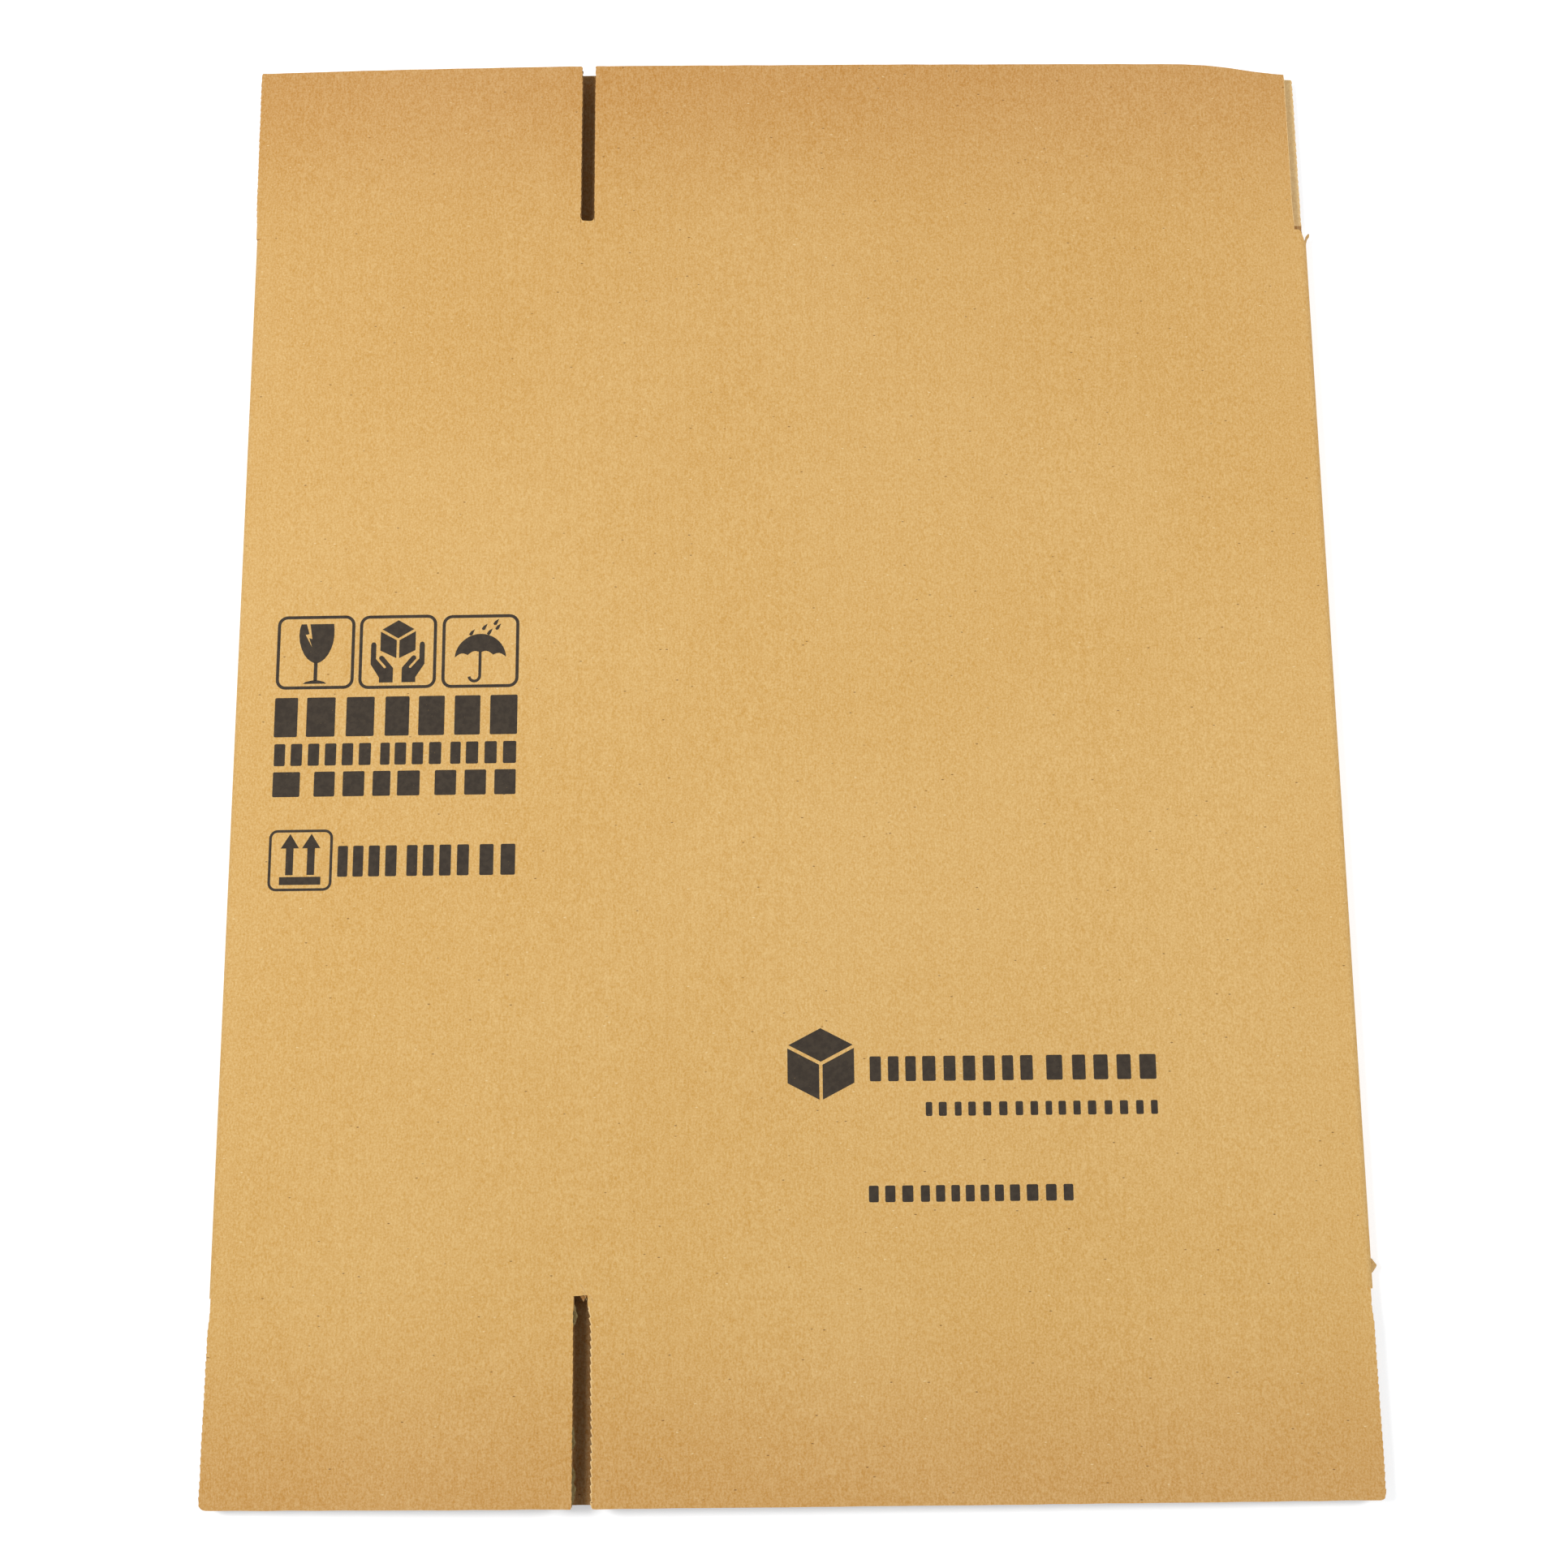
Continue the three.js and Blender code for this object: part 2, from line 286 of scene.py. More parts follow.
def board_material(name, paper, flecks=1.0, flutes=1.0, end_shade=0.0, bump=0.10):
    """Board with a paper of that colour.

    end_shade paints shade on it: darker towards the flaps' free ends, and more towards the top ones.
    """
    material = bpy.data.materials.new(name)
    material.use_nodes = True
    n = Nodes(material.node_tree)
    shader = material.node_tree.nodes["Principled BSDF"]
    place = n.add("ShaderNodeTexCoord").outputs["Object"]
    group = n.add("ShaderNodeGroup", node_tree=PAPER)
    n.feed(group.inputs["Coordinates"], place)
    group.inputs["Flecks"].default_value = flecks
    group.inputs["Flutes"].default_value = flutes
    # Painted shade, growing slowly over the top half and faster towards both free ends
    if end_shade:
        y = n.add("ShaderNodeSeparateXYZ", {"Vector": place}).outputs["Y"]
        away = n.math("ABSOLUTE", y)
        slow = n.span(y, SLOW_SHADE_FROM, FLAP_END_Y, 0.0, 0.40 * end_shade)
        late = n.span(away, LATE_SHADE_FROM, LATE_SHADE_TO, 0.0, 0.85 * end_shade)
        shade = n.math("ADD", slow, late)
        toned = n.tint(shade, paper, SHADED_PAPER)
        n.feed(group.inputs["Paper"], toned)
    else:
        group.inputs["Paper"].default_value = paper
    n.feed(shader.inputs["Base Color"], group.outputs["Color"])
    n.feed(shader.inputs["Roughness"], group.outputs["Roughness"])
    relief = n.add("ShaderNodeBump", {"Strength": bump, "Distance": RELIEF_DEPTH,
                                      "Height": group.outputs["Height"]})
    n.feed(shader.inputs["Normal"], relief.outputs["Normal"])
    shader.inputs["Specular IOR Level"].default_value = 0.22
    shader.inputs["Sheen Weight"].default_value = 0.05
    return material


PALER_INK = rgb(70, 60, 49)
PINHOLE = rgb(170, 134, 88)


def ink_material(name, ink):
    """Flexographic ink: slightly uneven, with pinholes where the paper's fibres took none."""
    material = bpy.data.materials.new(name)
    material.use_nodes = True
    n = Nodes(material.node_tree)
    shader = material.node_tree.nodes["Principled BSDF"]
    place = n.add("ShaderNodeTexCoord").outputs["Object"]
    clouds = n.span(n.noise(place, 500.0, 3.0, 0.6), 0.35, 0.65, 0.0, 1.0)
    colour = n.tint(clouds, ink, PALER_INK)
    holes = n.span(n.noise(place, 1500.0, 2.0, 0.6), 0.72, 0.78, 0.0, 0.6)
    colour = n.tint(holes, colour, PINHOLE)
    n.feed(shader.inputs["Base Color"], colour)
    shader.inputs["Roughness"].default_value = 0.8
    shader.inputs["Specular IOR Level"].default_value = 0.25
    return material


PAPER = paper_group()
OUTER = board_material("outer liner", rgb(222, 178, 109), end_shade=0.28)
# The inner liner's paper is darker than the outer's, partly as its own browner tone and partly as
# painted shade for the slots' hollows
INNER = board_material("inner liner", rgb(186, 142, 90), flecks=1.3, flutes=1.6)
CORE = board_material("waved medium", rgb(168, 124, 74), flecks=0.8, flutes=0.0)
CUT = board_material("cut edge", rgb(210, 168, 108), flecks=1.0, flutes=0.0, bump=0.5)
# Painted light: a paler paper for a few columns along some flaps' edges, as a painted highlight and
# painted light
PAINTED_LIGHT = board_material("pressed edge", rgb(238, 200, 140), flecks=0.6, flutes=0.0)
FRAY = board_material("frayed liner", rgb(158, 138, 92), flecks=1.5, flutes=0.0)
FIBRE = board_material("loose fibre", rgb(236, 206, 150), flecks=0.0, flutes=0.0)
INK = ink_material("printing ink", rgb(60, 51, 42))
OUTER_FACE, INNER_FACE, CUT_FACE, CORE_FACE, PAINTED_LIGHT_FACE = range(5)
BOARD_FINISHES = (OUTER, INNER, CUT, CORE, PAINTED_LIGHT)


# Board as mesh

class Sheet:
    """A closed slab between two grids of points, given column by column."""

    def __init__(self):
        self.points = []
        self.faces = []
        self.finishes = []

    def slab(self, outer, inner, outer_finish=OUTER_FACE, inner_finish=INNER_FACE, rim=CUT_FACE,
             painted_light=(), painted_light_inside=()):
        """Add one slab.

        The last two name the columns of outer or inner faces that are given a paler paper as painted
        light.
        """
        columns, rows = len(outer), len(outer[0])
        base = len(self.points)
        for grid in (outer, inner):
            for column in grid:
                self.points.extend(column)
        far = columns * rows

        def at(column, row, side):
            return base + side * far + column * rows + row

        for column in range(columns - 1):
            for row in range(rows - 1):
                ring = [(column, row), (column + 1, row), (column + 1, row + 1), (column, row + 1)]
                self.face([at(c, r, 0) for c, r in ring],
                          PAINTED_LIGHT_FACE if column in painted_light else outer_finish)
                self.face([at(c, r, 1) for c, r in reversed(ring)],
                          PAINTED_LIGHT_FACE if column in painted_light_inside else inner_finish)
        for column in range(columns - 1):
            for row in (0, rows - 1):
                self.face([at(column, row, 0), at(column + 1, row, 0),
                           at(column + 1, row, 1), at(column, row, 1)], rim)
        for row in range(rows - 1):
            for column in (0, columns - 1):
                self.face([at(column, row, 0), at(column, row + 1, 0),
                           at(column, row + 1, 1), at(column, row, 1)], rim)

    def face(self, corners, finish):
        self.faces.append(corners)
        self.finishes.append(finish)

    def mesh(self, name):
        mesh = bpy.data.meshes.new(name)
        mesh.from_pydata(self.points, [], self.faces)
        mesh.polygons.foreach_set("material_index", self.finishes)
        tidy = bmesh.new()
        tidy.from_mesh(mesh)
        bmesh.ops.recalc_face_normals(tidy, faces=tidy.faces)
        tidy.to_mesh(mesh)
        tidy.free()
        return mesh


def piece_from(mesh, name, materials=BOARD_FINISHES, smooth_angle=0.6):
    for material in materials:
        mesh.materials.append(material)
    mesh.shade_smooth()
    mesh.set_sharp_from_angle(angle=smooth_angle)
    piece = bpy.data.objects.new(name, mesh)
    bpy.context.scene.collection.objects.link(piece)
    return piece


def spread(low, high, step, edge_steps=()):
    """Places from low to high about a step apart, with closer ones beside both ends."""
    near = [low + e for e in edge_steps]
    far = [high - e for e in reversed(edge_steps)]
    first = near[-1] if near else low
    last = far[0] if far else high
    count = max(1, round((last - first) / step))
    middle = [first + (last - first) * k / count for k in range(count + 1)]
    return sorted(set([low, high, *near, *middle, *far]))


# Where the cuts really lie, in millimetres from the solids' side edges towards +X: each flap's
# left and right edge, at its crease and at its free end
NO_SHIFT = ((0, 0), (0, 0))
EDGE_SHIFT = {
    "top_upper_narrow_flap": ((1.5, 0.7), (-0.6, -0.4)),
    "top_upper_wide_flap": ((-0.6, -0.8), (-1.1, -1.3)),
    "bottom_upper_narrow_flap": ((1.2, 0.0), (1.1, 1.3)),
    "bottom_upper_wide_flap": ((0.8, 2.1), (-1.0, 0.0)),
}


def slot_edges(end):
    """Left and right edge of the upper slot where it meets the panels."""
    side = "top" if end > 0 else "bottom"
    narrow, wide = side + "_upper_narrow_flap", side + "_upper_wide_flap"
    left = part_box(narrow)[1].x + EDGE_SHIFT[narrow][1][0] * MM
    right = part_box(wide)[0].x + EDGE_SHIFT[wide][0][0] * MM
    return left, right


TOP_SLOT, BOTTOM_SLOT = slot_edges(1), slot_edges(-1)
TOP_SLOT_END_Y = CREASE_Y + 3.0 * MM
SLOT_CORNER = 1.3 * MM
SLOT_STEPS = 12
BEFORE_SLOT, AFTER_SLOT = 6.5 * MM, 7.5 * MM
ARC_STEPS = 14
SLEEVE_ROWS = 110

# How close the columns lie beside a fold and beside a slot
NEAR_FOLD = (0, 1 * MM, 3 * MM)
NEAR_SLOT = (0.03 * MM, 0.8 * MM, 1.8 * MM, 3.2 * MM)

# The tab's glue, and the board cut short at the right fold's top end
GLUE = 0.02 * MM
FOLD_TRIM = 5.4 * MM


# The sleeve: one open ribbon of board, from the cut edge at the seam round to the glued tab

def fold_columns(middle, start, part):
    """The columns round a side fold, turning by half a circle from the start angle."""
    columns = []
    for k in range(1, ARC_STEPS):
        angle = start - math.pi * k / ARC_STEPS
        across, up = math.cos(angle), math.sin(angle)
        columns.append(((middle + FOLD_RADIUS * across, FOLD_RADIUS * (1 + up)),
                        (middle + INNER_RADIUS * across, FOLD_RADIUS + INNER_RADIUS * up), part))
    return columns


def sleeve_columns():
    """The columns round the section, with the part each belongs to.

    A column of the upper layer is given by its X at the bottom and at the top end, and any
    other one by its outer and inner point.
    """
    columns = []
    for x in reversed(spread(LEFT_FOLD, SEAM_X - SEAM_WIDTH / 2, COLUMN_STEP, NEAR_FOLD)):
        columns.append(((x, 0), (x, BOARD), "lower"))
    columns.extend(fold_columns(LEFT_FOLD, -math.pi / 2, "left fold"))
    for x in spread(LEFT_FOLD, RIDGE_X - BEFORE_SLOT, COLUMN_STEP, NEAR_FOLD):
        columns.append((x, x, "upper"))
    for off in reversed(NEAR_SLOT):
        columns.append((BOTTOM_SLOT[0] - off, TOP_SLOT[0] - off, "upper"))
    for k in range(SLOT_STEPS + 1):
        bottom, top = (low + (high - low) * k / SLOT_STEPS for low, high in (BOTTOM_SLOT, TOP_SLOT))
        columns.append((bottom, top, "slot"))
    for off in NEAR_SLOT:
        columns.append((BOTTOM_SLOT[1] + off, TOP_SLOT[1] + off, "upper"))
    for x in spread(RIDGE_X + AFTER_SLOT, RIGHT_FOLD, COLUMN_STEP, NEAR_FOLD):
        columns.append((x, x, "upper"))
    columns.extend(fold_columns(RIGHT_FOLD, math.pi / 2, "right fold"))
    for x in reversed(spread(SEAM_X + SEAM_WIDTH / 2, RIGHT_FOLD, COLUMN_STEP, NEAR_FOLD)):
        columns.append(((x, 0), (x, BOARD), "lower"))
    columns.append(((SEAM_X + 0.1 * MM, 0.5 * MM), (SEAM_X + 1.2 * MM, BOARD + 0.6 * MM), "step"))
    columns.append(((SEAM_X - 0.2 * MM, BOARD + GLUE), (SEAM_X, BOARD + TAB_THICKNESS), "step"))
    for x in reversed(spread(SEAM_X - TAB_WIDTH, SEAM_X - 1 * MM, COLUMN_STEP)):
        columns.append(((x, BOARD + GLUE), (x, BOARD + TAB_THICKNESS), "tab"))
    return columns


def sleeve_end(x, part, end):
    """How far along Y the sleeve's board reaches at one end, in a column."""
    reach = CREASE_Y - CREASE_HALF
    if part == "tab":
        return CREASE_Y - TAB_END_TRIM - TAB_TAPER * (SEAM_X - x) / TAB_WIDTH
    if part == "step":
        return CREASE_Y - TAB_END_TRIM
    if part == "slot" and end > 0:
        edge = min(x - TOP_SLOT[0], TOP_SLOT[1] - x)
        corner = SLOT_CORNER - math.sqrt(max(0, SLOT_CORNER**2 - max(0, SLOT_CORNER - edge) ** 2))
        return TOP_SLOT_END_Y + corner + 0.12 * MM * wander(x, 3)
    if part == "slot":
        return reach - 0.3 * MM * (1 + wander(x, 2))
    if part == "right fold" and end > 0:
        return reach - FOLD_TRIM * smoothstep(RIGHT_FOLD, RIGHT, x)
    return reach


def sleeve_piece():
    sheet = Sheet()
    outer, inner = [], []
    for first, second, part in sleeve_columns():
        on_upper = part in ("upper", "slot")
        bottom = sleeve_end(first if on_upper else first[0], part, -1)
        top = sleeve_end(second if on_upper else first[0], part, 1)
        outer_column, inner_column = [], []
        for row in range(SLEEVE_ROWS + 1):
            share = 0.5 - 0.5 * math.cos(math.pi * row / SLEEVE_ROWS)
            y = -bottom + (top + bottom) * share
            if on_upper:
                x = first + (second - first) * min(1, max(0, (y + CREASE_Y) / (2 * CREASE_Y)))
                dent = RIDGE_DENT * math.exp(-(((x - RIDGE_X) / RIDGE_SOFTNESS) ** 2))
                out_x, out_z = x, upper_face(x) - dent
                in_x, in_z = x, upper_face(x) - BOARD + dent
            else:
                (out_x, out_z), (in_x, in_z) = first, second
            dent = crease_dent(y) if on_upper or part == "lower" else 0.0
            press = -1 if out_z > in_z else 1
            outer_column.append((out_x, y, out_z + press * CREASE_DENT_OUT * dent))
            inner_column.append((in_x, y, in_z - press * CREASE_DENT_IN * dent))
        outer.append(outer_column)
        inner.append(inner_column)
    sheet.slab(outer, inner)
    piece = piece_from(sheet.mesh("sleeve_board"), "sleeve_board")
    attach(piece, "sleeve")
    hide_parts("sleeve")
    return piece


# The flaps: liners with knife-cut side edges, and the medium between them

POINTS_A_WAVE = 12
MEDIUM_ROWS = 9
MERGE_WITHIN = 0.001 * MM


def medium_tree():
    """Geometry Nodes: a waved sheet of paper with its waves across X and a real thickness."""
    tree = bpy.data.node_groups.new("waved medium", "GeometryNodeTree")
    face = tree.interface
    sizes = (("Width", 100 * MM), ("Length", 60 * MM), ("Pitch", FLUTE_PITCH), ("Height", 2 * MM),
             ("Paper", MEDIUM))
    for label, value in sizes:
        face.new_socket(label, in_out="INPUT", socket_type="NodeSocketFloat").default_value = value
    for label, value in (("Columns", 100), ("Rows", MEDIUM_ROWS)):
        face.new_socket(label, in_out="INPUT", socket_type="NodeSocketInt").default_value = value
    face.new_socket("Geometry", in_out="OUTPUT", socket_type="NodeSocketGeometry")
    n = Nodes(tree)
    given = n.add("NodeGroupInput").outputs
    grid = n.add("GeometryNodeMeshGrid", {
        "Size X": given["Width"], "Size Y": given["Length"],
        "Vertices X": given["Columns"], "Vertices Y": given["Rows"]})
    position = n.add("GeometryNodeInputPosition").outputs[0]
    where = n.add("ShaderNodeSeparateXYZ", {"Vector": position})
    turns = n.math("DIVIDE", where.outputs["X"], given["Pitch"])
    wave = n.math("COSINE", n.math("MULTIPLY", turns, 2 * math.pi))
    rise = n.math("MULTIPLY", wave, n.math("MULTIPLY", given["Height"], 0.5))
    lift = n.add("ShaderNodeCombineXYZ", {"Z": rise})
    waved = n.add("GeometryNodeSetPosition", {"Geometry": grid.outputs["Mesh"],
                                              "Offset": lift.outputs[0]})
    up = n.add("ShaderNodeCombineXYZ", {"Z": given["Paper"]})
    thick = n.add("GeometryNodeExtrudeMesh", {"Mesh": waved.outputs[0], "Offset": up.outputs[0],
                                              "Offset Scale": 1.0, "Individual": False})
    below = n.add("GeometryNodeFlipFaces", {"Mesh": waved.outputs[0]})
    both = n.add("GeometryNodeJoinGeometry")
    tree.links.new(thick.outputs["Mesh"], both.inputs[0])
    tree.links.new(below.outputs[0], both.inputs[0])
    closed = n.add("GeometryNodeMergeByDistance", {"Geometry": both.outputs[0],
                                                   "Distance": MERGE_WITHIN})
    real = n.add("GeometryNodeRealizeInstances", {"Geometry": closed.outputs[0]})
    dressed = n.add("GeometryNodeSetMaterial", {"Geometry": real.outputs[0], "Material": CORE})
    out = n.add("NodeGroupOutput")
    tree.links.new(dressed.outputs[0], out.inputs[0])
    return tree


def waved_medium(width, length):
    """The medium's points and faces for one flap, centred on X 0 and Z 0, as plain lists."""
    holder = bpy.data.objects.new("medium maker", bpy.data.meshes.new("medium maker"))
    bpy.context.scene.collection.objects.link(holder)
    modifier = holder.modifiers.new("waves", "NODES")
    modifier.node_group = MEDIUM_TREE
    height = BOARD - 2 * LINER - MEDIUM
    values = {"Width": width, "Length": length, "Height": height,
              "Columns": 2 + int(width / FLUTE_PITCH * POINTS_A_WAVE), "Rows": MEDIUM_ROWS}
    for item in MEDIUM_TREE.interface.items_tree:
        if item.in_out == "INPUT" and item.name in values:
            modifier[item.identifier] = values[item.name]
    bpy.context.view_layer.update()
    evaluated = holder.evaluated_get(bpy.context.evaluated_depsgraph_get())
    mesh = bpy.data.meshes.new_from_object(evaluated)
    points = [tuple(v.co) for v in mesh.vertices]
    faces = [tuple(p.vertices) for p in mesh.polygons]
    bpy.data.objects.remove(holder)
    bpy.data.meshes.remove(mesh)
    return points, faces


MEDIUM_TREE = medium_tree()

# How deep the knife's teeth left each flap's left and right edge, in millimetres, and how wide
# and how deep a worn corner is
EDGE_TEETH = {
    "top_upper_narrow_flap": (0.26, 0.30),
    "top_upper_wide_flap": (0.22, 0.20),
    "top_lower_narrow_flap": (0.20, 0.34),
    "bottom_upper_narrow_flap": (0.40, 0.26),
    "bottom_upper_wide_flap": (0.80, 0.40),
}
OTHER_TEETH = (0.3, 0.45)
WORN_CORNER = {"top_upper_wide_flap": (46 * MM, 4.4 * MM),
               "top_lower_narrow_flap": (50 * MM, 4.6 * MM)}
FLAP_LIFT = 0.5 * MM
EDGE_SPREAD = 10 * MM
BITE_SPREAD = 2.4 * MM
NEAR_EDGE = (0, 0.2 * MM, 0.6 * MM, 1.2 * MM, 2 * MM, 2.8 * MM, 4.5 * MM)
SHARP_CORNER = 0.6 * MM
ROUND_CORNER = {"bottom_upper_narrow_flap": (2.6 * MM, SHARP_CORNER),
                "bottom_upper_wide_flap": (SHARP_CORNER, 2.2 * MM)}
ROOT_TAPER = 12 * MM
ROOT_END = 3.2 * MM
CREASE_ROWS = 14

# How far the waved medium stays inside the flap's edges, its crease and its free end
MEDIUM_INSET = 0.5 * MM
MEDIUM_START = 2.6 * MM
MEDIUM_END_GAP = 0.45 * MM


class Flap:
    """One flap: where its board lies, worked out from its solid in the frame."""

    def __init__(self, node):
        self.node = node
        self.end = 1 if node.startswith("top") else -1
        self.upper = "upper" in node
        low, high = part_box(node)
        self.left, self.right = low.x, high.x
        self.length = FLAP_END_Y - CREASE_Y
        self.seed = sum(ord(letter) for letter in node) % 17
        self.teeth = EDGE_TEETH.get(node, OTHER_TEETH)
        self.shifts = EDGE_SHIFT.get(node, NO_SHIFT)
        self.corners = ROUND_CORNER.get(node, (SHARP_CORNER, SHARP_CORNER))

    def faces_at(self, x, y):
        """Height of the outer and the inner face."""
        dent = crease_dent(y)
        if not self.upper:
            return CREASE_DENT_OUT * dent, BOARD - CREASE_DENT_IN * dent
        along = smoothstep(CREASE_Y, CREASE_Y + self.length, abs(y))
        middle = math.sin(math.pi * min(1, max(0, (x - self.left) / (self.right - self.left))))
        face = upper_face(x) + FLAP_LIFT * along * middle
        return face - CREASE_DENT_OUT * dent, face - BOARD + CREASE_DENT_IN * dent

    def reach(self, x):
        """How far from the crease the board goes at this X, with round and worn corners."""
        far = self.length - 0.10 * MM * (1 + wander(x, self.seed))
        for edge, corner in zip((x - self.left, self.right - x), self.corners):
            if edge < corner:
                far -= corner - math.sqrt(max(0, corner**2 - (corner - edge) ** 2))
        if self.node in WORN_CORNER:
            width, depth = WORN_CORNER[self.node]
            far -= depth * smoothstep(self.right - width, self.right, x) ** 1.5
        return far

    def bite(self, y, side):
        """How far a side edge is cut in by the knife's teeth, at this distance along it."""
        depth = self.teeth[side] * MM
        tooth = (y / TOOTH_PITCH + 0.37 * self.seed + 0.5 * side) % 1
        strength = 0.7 + 0.25 * wander(y * 0.6, self.seed + 5 * side) + 0.2 * y / self.length
        cut = depth * strength * tooth + 0.10 * MM * (0.5 + 0.5 * wander(y, self.seed + side))
        return cut * smoothstep(1 * MM, 4 * MM, y)

    def columns(self):
        return spread(self.left, self.right, COLUMN_STEP, NEAR_EDGE)

    def edge_shift(self, away, side):
        """How far the real cut lies from the solid's side edge, towards +X."""
        root, end = self.shifts[side]
        share = smoothstep(0, ROOT_TAPER, away) * 0.6 + smoothstep(0, self.length, away) * 0.4
        return (root + (end - root) * share) * MM

    def place(self, x, away):
        """The X of a point, with the side edges where the knife left them."""
        from_left = max(0, 1 - (x - self.left) / EDGE_SPREAD)
        from_right = max(0, 1 - (self.right - x) / EDGE_SPREAD)
        moved = x + from_left * self.edge_shift(away, 0) + from_right * self.edge_shift(away, 1)
        bitten_left = max(0, 1 - (x - self.left) / BITE_SPREAD) * self.bite(away, 0)
        bitten_right = max(0, 1 - (self.right - x) / BITE_SPREAD) * self.bite(away, 1)
        return moved + bitten_left - bitten_right

    def grids(self, from_away, rows, to_away=None, outer_depth=0.0, inner_depth=BOARD):
        """Outer and inner points of a slab at those depths below the outer face."""
        outer, inner = [], []
        for x in self.columns():
            far = self.reach(x) if to_away is None else to_away
            outer_column, inner_column = [], []
            for row in range(rows + 1):
                away = from_away + (far - from_away) * row / rows
                y = self.end * (CREASE_Y + away)
                px = self.place(x, away)
                face, back = self.faces_at(x, y)
                across = (back - face) / BOARD
                outer_column.append((px, y, face + across * outer_depth))
                inner_column.append((px, y, face + across * inner_depth))
            outer.append(outer_column)
            inner.append(inner_column)
        return outer, inner

    def add_medium(self, sheet):
        """The waved medium, from the dented crease to just inside the free edge."""
        start, stop = MEDIUM_START, self.length - MEDIUM_END_GAP
        width = self.right - self.left - 2 * MEDIUM_INSET
        points, faces = waved_medium(width, stop - start)
        base = len(sheet.points)
        middle = (self.left + self.right) / 2
        for px, py, pz in points:
            x = middle + px
            away = (start + stop) / 2 + py
            away = min(away, self.reach(x) - 0.2 * MM)
            y = self.end * (CREASE_Y + away)
            face, back = self.faces_at(x, y)
            depth = BOARD / 2 + pz - MEDIUM / 2
            sheet.points.append((self.place(x, away), y, face + (back - face) / BOARD * depth))
        for face in faces:
            sheet.face([base + corner for corner in face], CORE_FACE)


def flap_piece(flap):
    sheet = Sheet()
    rows = round((flap.length - CREASE_HALF) / EDGE_STEP)
    outer_liner = flap.grids(CREASE_HALF, rows, outer_depth=0, inner_depth=LINER)
    inner_liner = flap.grids(CREASE_HALF, rows, outer_depth=BOARD - LINER, inner_depth=BOARD)
    last = len(outer_liner[0]) - 2
    # Columns given the paler paper as painted light: a painted highlight along the upper wide flaps'
    # cut edges, and a lighter strip on the lower narrow flap beside the upper flap's edge
    painted_light = {"bottom_upper_wide_flap": (0, 1), "top_upper_wide_flap": (last,)}
    painted_light_inside = {"top_lower_narrow_flap": range(last - 5, last + 1)}
    sheet.slab(*outer_liner, outer_finish=OUTER_FACE, inner_finish=CORE_FACE,
               painted_light=painted_light.get(flap.node, ()))
    sheet.slab(*inner_liner, outer_finish=CORE_FACE, inner_finish=INNER_FACE,
               painted_light_inside=painted_light_inside.get(flap.node, ()))
    root = flap.grids(CREASE_HALF, 2, to_away=ROOT_END, outer_depth=LINER / 2,
                      inner_depth=BOARD - LINER / 2)
    sheet.slab(*root, outer_finish=CORE_FACE, inner_finish=CORE_FACE, rim=CUT_FACE)
    flap.add_medium(sheet)
    name = flap.node + "_board"
    piece = piece_from(sheet.mesh(name), name)
    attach(piece, flap.node)
    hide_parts(flap.node)
    return piece


def crease_piece(flap):
    """The strip of board at the crease between the sleeve and a flap."""
    sheet = Sheet()
    sheet.slab(*flap.grids(-CREASE_HALF, CREASE_ROWS, to_away=CREASE_HALF))
    name = flap.node.replace("_flap", "_crease")
    piece = piece_from(sheet.mesh(name), name, smooth_angle=1.2)
    middle = (flap.left + flap.right) / 2
    height = flap.faces_at(middle, flap.end * CREASE_Y)[0]
    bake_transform(piece)
    return piece


# Print: ink laid on the upper panels as simple shapes

INK_LIFT = 0.03 * MM
INK_SINK = 0.02 * MM


class Print:
    """Flat shapes in X and Y, laid on the upper faces as a thin film."""

    def __init__(self):
        self.film = bmesh.new()

    def polygon(self, corners):
        flat = [Vector((x, y, 0)) for x, y in corners]
        verts = [self.film.verts.new(corner * MM) for corner in flat]
        for triangle in tessellate_polygon([flat]):
            self.film.faces.new([verts[k] for k in triangle])

    def box(self, left, right, bottom, top):
        self.polygon([(left, bottom), (right, bottom), (right, top), (left, top)])

    def ring(self, outside, inside):
        """The band between two outlines that have as many points."""
        outer = [self.film.verts.new((x * MM, y * MM, 0)) for x, y in outside]
        inner = [self.film.verts.new((x * MM, y * MM, 0)) for x, y in inside]
        count = len(outer)
        for k in range(count):
            after = (k + 1) % count
            self.film.faces.new([outer[k], outer[after], inner[after], inner[k]])

    def stroke(self, path, width):
        """A line of even width along a path, with square ends."""
        left, right = [], []
        for k, (x, y) in enumerate(path):
            before = path[max(0, k - 1)]
            after = path[min(len(path) - 1, k + 1)]
            along = Vector((after[0] - before[0], after[1] - before[1])).normalized()
            side = Vector((-along.y, along.x)) * width / 2
            left.append((x + side.x, y + side.y))
            right.append((x - side.x, y - side.y))
        for k in range(len(path) - 1):
            self.polygon([right[k], right[k + 1], left[k + 1], left[k]])

    def piece(self, name):
        film = self.film
        flat = list(film.faces)
        made = bmesh.ops.extrude_face_region(film, geom=flat)
        raised = {v for v in made["geom"] if isinstance(v, bmesh.types.BMVert)}
        for vert in film.verts:
            level = INK_LIFT if vert in raised else -INK_SINK
            vert.co.z = upper_face(vert.co.x) + level
        bmesh.ops.recalc_face_normals(film, faces=film.faces)
        mesh = bpy.data.meshes.new(name)
        film.to_mesh(mesh)
        film.free()
        mesh.materials.append(INK)
        piece = bpy.data.objects.new(name, mesh)
        bpy.context.scene.collection.objects.link(piece)
        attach(piece, "sleeve")
        return piece


